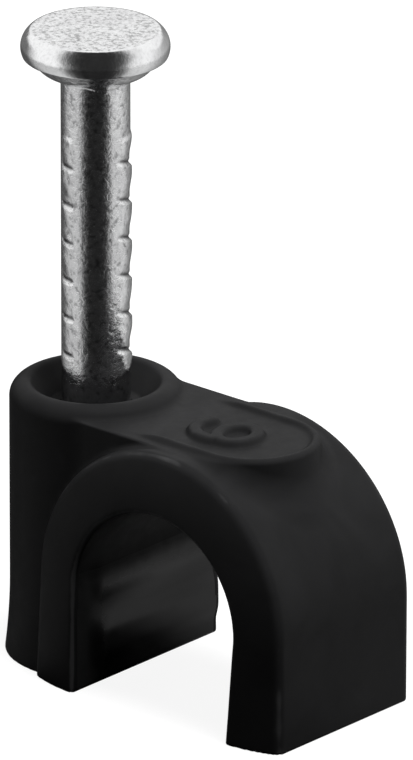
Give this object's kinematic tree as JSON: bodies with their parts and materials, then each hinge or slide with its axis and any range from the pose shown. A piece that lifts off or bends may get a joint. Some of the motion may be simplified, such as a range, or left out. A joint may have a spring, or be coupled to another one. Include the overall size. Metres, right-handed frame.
{
  "type": "nail in cable clip",
  "caption": "Moulded hook clip for a round cable, with a steel nail set in the boss beside the cable channel, ready to drive.",
  "frame": {"origin": "centre of the clip's footprint, in the plane of its feet, which is the wall when the clip is fixed", "axes": "+Z away from the wall, along the nail towards its head; +Y along the cable; +X from the nail towards the clip's free leg"},
  "size_m": [0.012, 0.0064, 0.019],
  "materials": {
    "clip_plastic": "semi-gloss moulded",
    "nail_steel": "bright zinc plated"
  },
  "bodies": {
    "clip": {"clip_body": "clip_plastic"},
    "nail": {"nail": "nail_steel"}
  },
  "joints": [
    {"name": "nail_drive", "type": "slide", "parent": "clip", "child": "nail", "axis": [0, 0, -1], "range_m": [0, 0.00989]}
  ]
}
